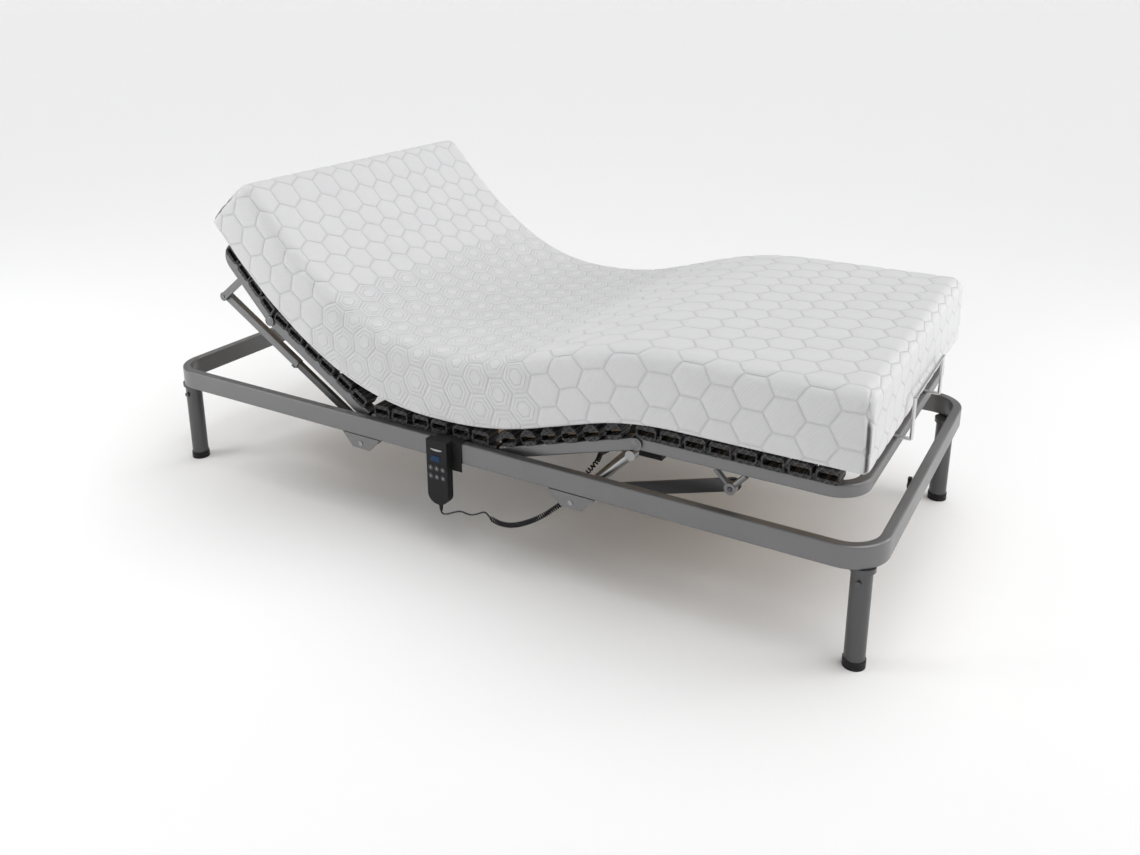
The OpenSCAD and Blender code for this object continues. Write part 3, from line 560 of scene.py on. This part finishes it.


# quilted cover: honeycomb lines as soft stitched channels with painted shade along them, a fine diagonal knit and
# soft pilling
honeycomb, inside, outside = newGroup(
    "honeycomb", [("Place", "NodeSocketVector", None), ("Cell", "NodeSocketFloat", mattress["cell"]),
                  ("Rings From", "NodeSocketFloat", mattress["ringsFrom"]),
                  ("Rings To", "NodeSocketFloat", mattress["ringsTo"])],
    [("Lines", "NodeSocketFloat"), ("Rings", "NodeSocketFloat")])
split = addNode(honeycomb, "ShaderNodeSeparateXYZ", {0: inside.outputs["Place"]})
cellX = sums(honeycomb, "DIVIDE", split.outputs[1], inside.outputs["Cell"])
cellY = sums(honeycomb, "DIVIDE", split.outputs[0], inside.outputs["Cell"])
tall = math.sqrt(3)
candidates = []
for shiftX, shiftY in ((0, 0), (0.5, tall / 2)):
    qx = sums(honeycomb, "SUBTRACT",
              sums(honeycomb, "FLOORED_MODULO", sums(honeycomb, "ADD", cellX, 0.5 - shiftX), 1.0), 0.5)
    qy = sums(honeycomb, "SUBTRACT",
              sums(honeycomb, "FLOORED_MODULO", sums(honeycomb, "ADD", cellY, tall / 2 - shiftY), tall), tall / 2)
    size = sums(honeycomb, "ADD", sums(honeycomb, "MULTIPLY", qx, qx), sums(honeycomb, "MULTIPLY", qy, qy))
    candidates.append((qx, qy, size))
second = sums(honeycomb, "LESS_THAN", candidates[1][2], candidates[0][2])
chosen = []
for k in (0, 1):
    step = sums(honeycomb, "SUBTRACT", candidates[1][k], candidates[0][k])
    chosen.append(sums(honeycomb, "ADD", candidates[0][k], sums(honeycomb, "MULTIPLY", step, second)))
absX, absY = sums(honeycomb, "ABSOLUTE", chosen[0]), sums(honeycomb, "ABSOLUTE", chosen[1])
slanted = sums(honeycomb, "ADD", sums(honeycomb, "MULTIPLY", absX, 0.5),
               sums(honeycomb, "MULTIPLY", absY, tall / 2))
edgeDistance = sums(honeycomb, "MULTIPLY",
                    sums(honeycomb, "SUBTRACT", 0.5, sums(honeycomb, "MAXIMUM", absX, slanted)),
                    inside.outputs["Cell"])
cellPlace = sums(honeycomb, "MULTIPLY", sums(honeycomb, "SUBTRACT", cellY, chosen[1]), inside.outputs["Cell"])
ringZone = sums(honeycomb, "MULTIPLY",
                sums(honeycomb, "GREATER_THAN", cellPlace, inside.outputs["Rings From"]),
                sums(honeycomb, "LESS_THAN", cellPlace, inside.outputs["Rings To"]))
mainLine = spread(honeycomb, edgeDistance, 0.0002, 0.0036, 1.0, 0.0)
ringLines = []
for inset in (0.0105, 0.0205):
    offset = sums(honeycomb, "ABSOLUTE", sums(honeycomb, "SUBTRACT", edgeDistance, inset))
    ringLines.append(spread(honeycomb, offset, 0.0002, 0.0026, 0.8, 0.0))
ringLine = sums(honeycomb, "MULTIPLY", sums(honeycomb, "MAXIMUM", *ringLines), ringZone)
honeycomb.links.new(mainLine, outside.inputs["Lines"])
honeycomb.links.new(ringLine, outside.inputs["Rings"])

coverKnit, tree, shader = newMaterial("coverKnit")
quiltPlace = addNode(tree, "ShaderNodeUVMap", uv_map="quilt").outputs["UV"]
cells = placeGroup(tree, honeycomb)
tree.links.new(quiltPlace, cells.inputs["Place"])
knitTurn = addNode(tree, "ShaderNodeMapping", {"Vector": quiltPlace, "Rotation": (0, 0, 0.62)})
knit = addNode(tree, "ShaderNodeTexWave", {"Vector": knitTurn.outputs[0], "Scale": 58.0, "Distortion": 1.2,
                                            "Detail": 1.0, "Detail Scale": 2.0}, wave_type="BANDS")
loops = addNode(tree, "ShaderNodeTexNoise", {"Vector": quiltPlace, "Scale": 1300.0, "Detail": 1.0})
soft = addNode(tree, "ShaderNodeTexNoise", {"Vector": quiltPlace, "Scale": 9.0, "Detail": 3.0})
seamShadeMask = addNode(tree, "ShaderNodeAttribute", attribute_name="seamDentAndShade").outputs["Fac"]
coverTone = blendColours(tree, soft.outputs["Fac"], (0.66, 0.66, 0.67, 1), (0.71, 0.71, 0.715, 1))
# painted shade: the cover colour is darkened along the honeycomb channels and the inner ring lines, where the
# stitched grooves lie
lineShade = sums(tree, "MULTIPLY", cells.outputs["Lines"], 0.34)
channelShadeTone = blendColours(tree, lineShade, coverTone, (0.42, 0.42, 0.43, 1))
ringShade = sums(tree, "MULTIPLY", cells.outputs["Rings"], 0.24)
ringChannelShadeTone = blendColours(tree, ringShade, channelShadeTone, (0.46, 0.46, 0.47, 1))
knitShade = spread(tree, knit.outputs["Fac"], 0.0, 0.5, 0.14, 0.0)
knitTone = blendColours(tree, knitShade, ringChannelShadeTone, (0.5, 0.5, 0.51, 1))
# painted shade along the corner seams: the cover colour is blended towards near-black there
seamShadeTone = blendColours(tree, spread(tree, seamShadeMask, 0.25, 0.8, 0.0, 0.92), knitTone, (0.07, 0.06, 0.06, 1))
tree.links.new(seamShadeTone, shader.inputs["Base Color"])
tree.links.new(spread(tree, loops.outputs["Fac"], 0.3, 0.7, 0.82, 0.95), shader.inputs["Roughness"])
shader.inputs["Sheen Weight"].default_value = 0.25
shader.inputs["Sheen Roughness"].default_value = 0.5
shader.inputs["Specular IOR Level"].default_value = 0.25
stitches = sums(tree, "MAXIMUM", cells.outputs["Lines"], sums(tree, "MULTIPLY", cells.outputs["Rings"], 1.2))
channel = sums(tree, "MULTIPLY", stitches, -1.0)
fuzz = sums(tree, "ADD", sums(tree, "MULTIPLY", knit.outputs["Fac"], 0.22),
            sums(tree, "MULTIPLY", loops.outputs["Fac"], 0.12))
bumpFrom(tree, shader, sums(tree, "ADD", channel, fuzz), 0.0016, 0.8)


def straightMiddle(i):
    # middle of the straight stretch of the deck between two bends, as a run along the bed
    first = corners[i - 1] + heading(slopes[i]) * easeLengths[i - 1]
    last = corners[i] - heading(slopes[i]) * easeLengths[i]
    run = np.linalg.norm(line - first, axis=1).argmin(), np.linalg.norm(line - last, axis=1).argmin()
    return (lineRun[run[0]] + lineRun[run[1]]) / 2


cuts = [0.0, straightMiddle(1), straightMiddle(2), straightMiddle(3), mattressLength]
bends = [("mattressHead", "head", "back", 0, "head_mattress"),
         ("mattressBack", "back", "chassis", 1, "back_mattress"),
         ("mattressSeat", "chassis", "thigh", 2, "seat_mattress"),
         ("mattressFoot", "thigh", "foot", 3, "foot_mattress")]
for name, bodyA, bodyB, i, node in bends:
    piece = mattressPiece(name, cuts[i], cuts[i + 1], i == 0, i == 3)
    piece.data.materials.append(coverKnit)
    before, after = heading(slopes[i]), heading(slopes[i + 1])
    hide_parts(node)
    if name == "mattressFoot":
        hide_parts("thigh_mattress")
    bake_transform(piece)
    print("mattress piece", name, len(piece.data.polygons))

# display, crescent and button marks on the face of the handset

handset = {"middle": -0.038, "face": -0.4755, "displayAt": (-0.041, 0.243), "display": (0.026, 0.016),
           "crescentAt": (-0.038, 0.268), "buttons": (0.218, 0.022, 0.018)}


def flatPlate(name, x, z, width, height, thick, material, body, corners=0.002):
    deselectAll()
    bpy.ops.mesh.primitive_cube_add(size=1, location=(x, handset["face"] - thick / 2 + 0.0004, z))
    made = bpy.context.object
    made.name = name
    made.scale = (width, thick, height)
    bpy.ops.object.transform_apply(location=True, rotation=True, scale=True)
    bevel = made.modifiers.new("edge", "BEVEL")
    bevel.width, bevel.segments = min(corners, thick * 0.45), 3
    bpy.ops.object.modifier_apply(modifier="edge")
    made.data.materials.append(material)
    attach(made, body)
    return made


display = flatPlate("handsetDisplay", *handset["displayAt"], *handset["display"], 0.0016, displayGlass, "chassis")


def facePlate(name, at, size, sides, turn, lowerHalf, material, body):
    # a thin flat shape facing the user: a cylinder drawn to its half width, half depth and half height, with its
    # lower half alone if asked, and its edges eased
    deselectAll()
    bpy.ops.mesh.primitive_cylinder_add(vertices=sides, radius=1, depth=1, location=at,
                                        rotation=(math.pi / 2, turn, 0))
    made = bpy.context.object
    made.name = name
    bpy.ops.object.transform_apply(location=False, rotation=True, scale=False)
    made.scale = size
    bpy.ops.object.transform_apply(location=True, rotation=False, scale=True)
    if lowerHalf:
        bpy.ops.object.mode_set(mode="EDIT")
        bpy.ops.mesh.select_all(action="SELECT")
        bpy.ops.mesh.bisect(plane_co=at, plane_no=(0, 0, 1), use_fill=True, clear_outer=True)
        bpy.ops.object.mode_set(mode="OBJECT")
    bevel = made.modifiers.new("edge", "BEVEL")
    bevel.width, bevel.segments, bevel.limit_method = size[1] * 0.2, 2, "ANGLE"
    bpy.ops.object.modifier_apply(modifier="edge")
    made.data.materials.append(material)
    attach(made, body)
    return made


cx, cz = handset["crescentAt"]
facePlate("handsetCrescent", (cx, handset["face"], cz), (0.017, 0.0008, 0.0046), 40, 0, True, markPaint,
          "chassis")
topRow, rowStep, columnStep = handset["buttons"]
for i in range(6):
    x = handset["middle"] + (i % 3 - 1) * columnStep
    z = topRow - (i // 3) * rowStep
    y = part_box(f"button_{i + 1}")[0].y + 0.0001
    facePlate(f"buttonMark{i + 1}", (x, y, z), (0.0027, 0.0006, 0.0027), 3, 0 if i < 3 else math.pi, False,
              markPaint, f"button_{i + 1}")
print("handset details placed")

# round caps over the outer ends of the section hinges

pivotCap = {"radius": 0.0145, "thick": 0.0048, "inner": 0.421}
for name, place, body in (("neckCap", neckHinge, "back"), ("kneeCap", kneeHinge, "thigh")):
    for side in (-1, 1):
        deselectAll()
        bpy.ops.mesh.primitive_cylinder_add(
            vertices=40, radius=pivotCap["radius"], depth=pivotCap["thick"], rotation=(math.pi / 2, 0, 0),
            location=(place[0], side * (pivotCap["inner"] + pivotCap["thick"] / 2), place[1]))
        cap = bpy.context.object
        cap.name = f"{name}{'Left' if side > 0 else 'Right'}"
        bpy.ops.object.transform_apply(location=True, rotation=True, scale=True)
        bpy.ops.object.mode_set(mode="EDIT")
        bpy.ops.mesh.select_mode(type="FACE")
        bpy.ops.mesh.select_all(action="DESELECT")
        bpy.ops.object.mode_set(mode="OBJECT")
        for face in cap.data.polygons:
            face.select = face.normal.y * side > 0.9
        bpy.ops.object.mode_set(mode="EDIT")
        bpy.ops.mesh.inset(thickness=0.0035)
        bpy.ops.transform.translate(value=(0, -side * 0.0016, 0))
        bpy.ops.mesh.inset(thickness=0.004)
        bpy.ops.transform.translate(value=(0, side * 0.0016, 0))
        bpy.ops.object.mode_set(mode="OBJECT")
        soften = cap.modifiers.new("edge", "BEVEL")
        soften.width, soften.segments, soften.limit_method = 0.0006, 2, "ANGLE"
        bpy.ops.object.modifier_apply(modifier="edge")
        bpy.ops.object.shade_smooth_by_angle(angle=0.6)
        cap.data.materials.append(framePaint)
        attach(cap, body)
print("hinge caps placed")

# floor and light

stage = {"floorSide": 600, "wallRadius": 250, "wallHeight": 120, "paint": (0.9, 0.9, 0.9, 1),
         "skyGlow": 0.14}
deselectAll()
bpy.ops.mesh.primitive_plane_add(size=stage["floorSide"], location=(0, 0, 0))
floor = bpy.context.object
floor.name = "floor"
floorPaint, tree, shader = newMaterial("floorPaint")
shader.inputs["Base Color"].default_value = stage["paint"]
shader.inputs["Roughness"].default_value = 0.9
shader.inputs["Specular IOR Level"].default_value = 0.1
floor.data.materials.append(floorPaint)

# a pale round wall, seen only by a camera that doesn't clip before it
deselectAll()
bpy.ops.mesh.primitive_cylinder_add(vertices=96, radius=stage["wallRadius"], depth=stage["wallHeight"],
                                    end_fill_type="NOTHING", location=(0, 0, stage["wallHeight"] / 2))
wall = bpy.context.object
wall.name = "farWall"
bpy.ops.object.transform_apply(location=True, rotation=True, scale=True)
bpy.ops.object.shade_smooth()
wall.data.materials.append(floorPaint)


def placeLight(name, lamp, at, aim, **settings):
    data = bpy.data.lights.new(name, lamp)
    for key, value in settings.items():
        setattr(data, key, value)
    made = bpy.data.objects.new(name, data)
    bpy.context.scene.collection.objects.link(made)
    made.location = at
    made.rotation_mode = "QUATERNION"
    made.rotation_quaternion = (Vector(aim) - Vector(at)).to_track_quat("-Z", "Y")


placeLight("skyLight", "SUN", (0, 0, 0), (-0.28, -0.14, -1.0), energy=2.45, angle=1.3)
placeLight("headLight", "AREA", (-2.7, -2.3, 1.5), (-0.6, 0, 0.5), shape="RECTANGLE", size=1.4, size_y=1.4,
           energy=36)
placeLight("rimLight", "AREA", (3.3, 1.3, 0.9), (0.8, 0, 0.4), shape="RECTANGLE", size=1.4, size_y=1.0,
           energy=26)
world = bpy.data.worlds.new("room")
bpy.context.scene.world = world
world.use_nodes = True
world.node_tree.nodes["Background"].inputs["Color"].default_value = (1, 1, 1, 1)
world.node_tree.nodes["Background"].inputs["Strength"].default_value = stage["skyGlow"]
bpy.context.scene.view_settings.view_transform = "Standard"

print("done")
